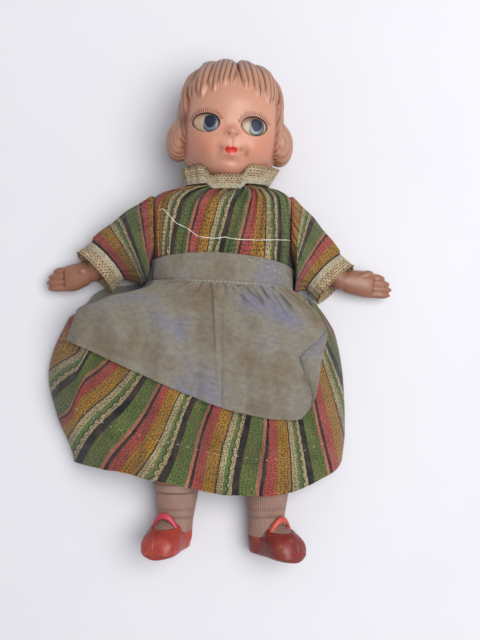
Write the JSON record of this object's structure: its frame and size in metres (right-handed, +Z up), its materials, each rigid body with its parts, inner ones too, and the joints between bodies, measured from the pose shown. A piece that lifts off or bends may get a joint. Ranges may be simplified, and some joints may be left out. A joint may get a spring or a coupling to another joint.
{
  "type": "dressed celluloid doll",
  "caption": "Strung moulded doll with side-glancing set eyes and turning head, arms and legs, in a striped dress with lace and an apron, lying on its back.",
  "frame": {"origin": "under the middle of the bounding box, on the surface that the doll lies on", "axes": "+Z up, the way the face looks; +Y toward the crown; +X to the doll's left"},
  "size_m": [0.2084, 0.2944, 0.0658],
  "materials": {
    "celluloid_skin": "glossy moulded celluloid with painted cheeks, mouth and lashes",
    "eye_white": "glossy cream",
    "eye_iris": "glossy blue grey",
    "eye_pupil": "glossy black",
    "metal_fittings": "dull steel",
    "elastic_cord": "braided cover",
    "cotton_lace": "cream cotton lace",
    "apron_cotton": "faded plain weave",
    "striped_cotton": "woven stripes"
  },
  "bodies": {
    "torso": {"torso_shell": "celluloid_skin", "arm_elastic": "elastic_cord", "leg_elastic": "elastic_cord", "neck_elastic": "elastic_cord", "neck_hook": "metal_fittings", "bodice_front": "striped_cotton", "bodice_back_left": "striped_cotton", "bodice_back_right": "striped_cotton", "press_stud_lower": "metal_fittings", "press_stud_upper": "metal_fittings", "collar_lace": "cotton_lace", "skirt_front": "striped_cotton", "skirt_back": "striped_cotton", "apron_band": "apron_cotton", "apron_skirt": "apron_cotton"},
    "head": {"head_shell": "celluloid_skin", "left_eye": "eye_white", "left_iris": "eye_iris", "left_pupil": "eye_pupil", "right_eye": "eye_white", "right_iris": "eye_iris", "right_pupil": "eye_pupil", "neck_washer": "metal_fittings"},
    "left_arm_body": {"left_arm": "celluloid_skin", "left_arm_washer": "metal_fittings", "left_sleeve": "striped_cotton", "left_cuff_lace": "cotton_lace"},
    "left_leg_body": {"left_leg": "celluloid_skin", "left_leg_washer": "metal_fittings"},
    "right_arm_body": {"right_arm": "celluloid_skin", "right_arm_washer": "metal_fittings", "right_sleeve": "striped_cotton", "right_cuff_lace": "cotton_lace"},
    "right_leg_body": {"right_leg": "celluloid_skin", "right_leg_washer": "metal_fittings"}
  },
  "joints": [
    {"name": "neck_turn", "type": "hinge", "parent": "torso", "child": "head", "pos_m": [0.00509, 0.07779, 0.03], "axis": [0.0698, 0.9976, 0], "range_deg": [-60, 60]},
    {"name": "left_shoulder", "type": "hinge", "parent": "torso", "child": "left_arm_body", "pos_m": [-0.02531, 0.05379, 0.027], "axis": [-1, 0, 0], "range_deg": [-20, 165]},
    {"name": "right_shoulder", "type": "hinge", "parent": "torso", "child": "right_arm_body", "pos_m": [0.03129, 0.05379, 0.027], "axis": [-1, 0, 0], "range_deg": [-20, 165]},
    {"name": "left_hip", "type": "hinge", "parent": "torso", "child": "left_leg_body", "pos_m": [-0.00831, -0.02521, 0.02], "axis": [-1, 0, 0], "range_deg": [0, 90], "deforming": ["skirt_front", "apron_skirt"]},
    {"name": "right_hip", "type": "hinge", "parent": "torso", "child": "right_leg_body", "pos_m": [0.01429, -0.02521, 0.02], "axis": [-1, 0, 0], "range_deg": [0, 90], "deforming": ["skirt_front", "apron_skirt"]}
  ]
}
